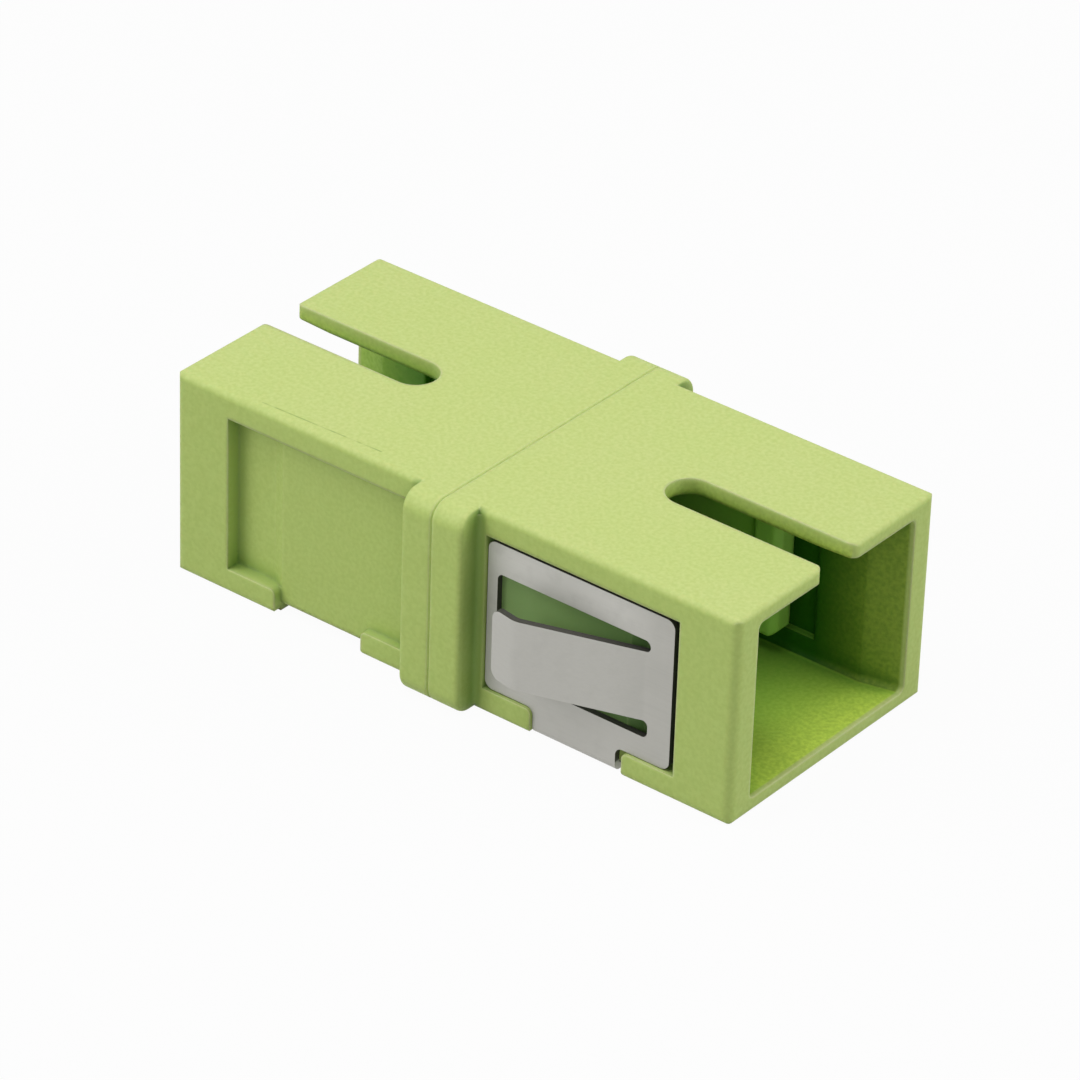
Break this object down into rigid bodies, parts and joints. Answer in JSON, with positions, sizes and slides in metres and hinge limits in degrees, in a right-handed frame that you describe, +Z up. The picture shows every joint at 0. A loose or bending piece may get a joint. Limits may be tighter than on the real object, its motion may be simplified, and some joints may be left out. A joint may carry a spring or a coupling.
{
  "type": "fiber optic coupler",
  "caption": "Square push-pull fibre coupler: two moulded halves joined at a narrow collar, a key slot on top of each, and a sprung metal panel clip round one half",
  "frame": {"origin": "centre of the footprint on the underside, under the seam between the halves", "axes": "+X along the fibre towards the half that carries the clip, +Z up through the side with the key slots"},
  "size_m": [0.0288, 0.016, 0.0094],
  "materials": {
    "housing": "fine grain",
    "holder": "fine grain",
    "sleeve": "ground",
    "clip": "rolled stainless sheet"
  },
  "bodies": {
    "root": {"housing_front": "housing", "housing_rear": "housing", "latch_holder_front": "holder", "latch_holder_rear": "holder", "split_sleeve": "sleeve", "panel_clip": "clip"}
  },
  "joints": []
}
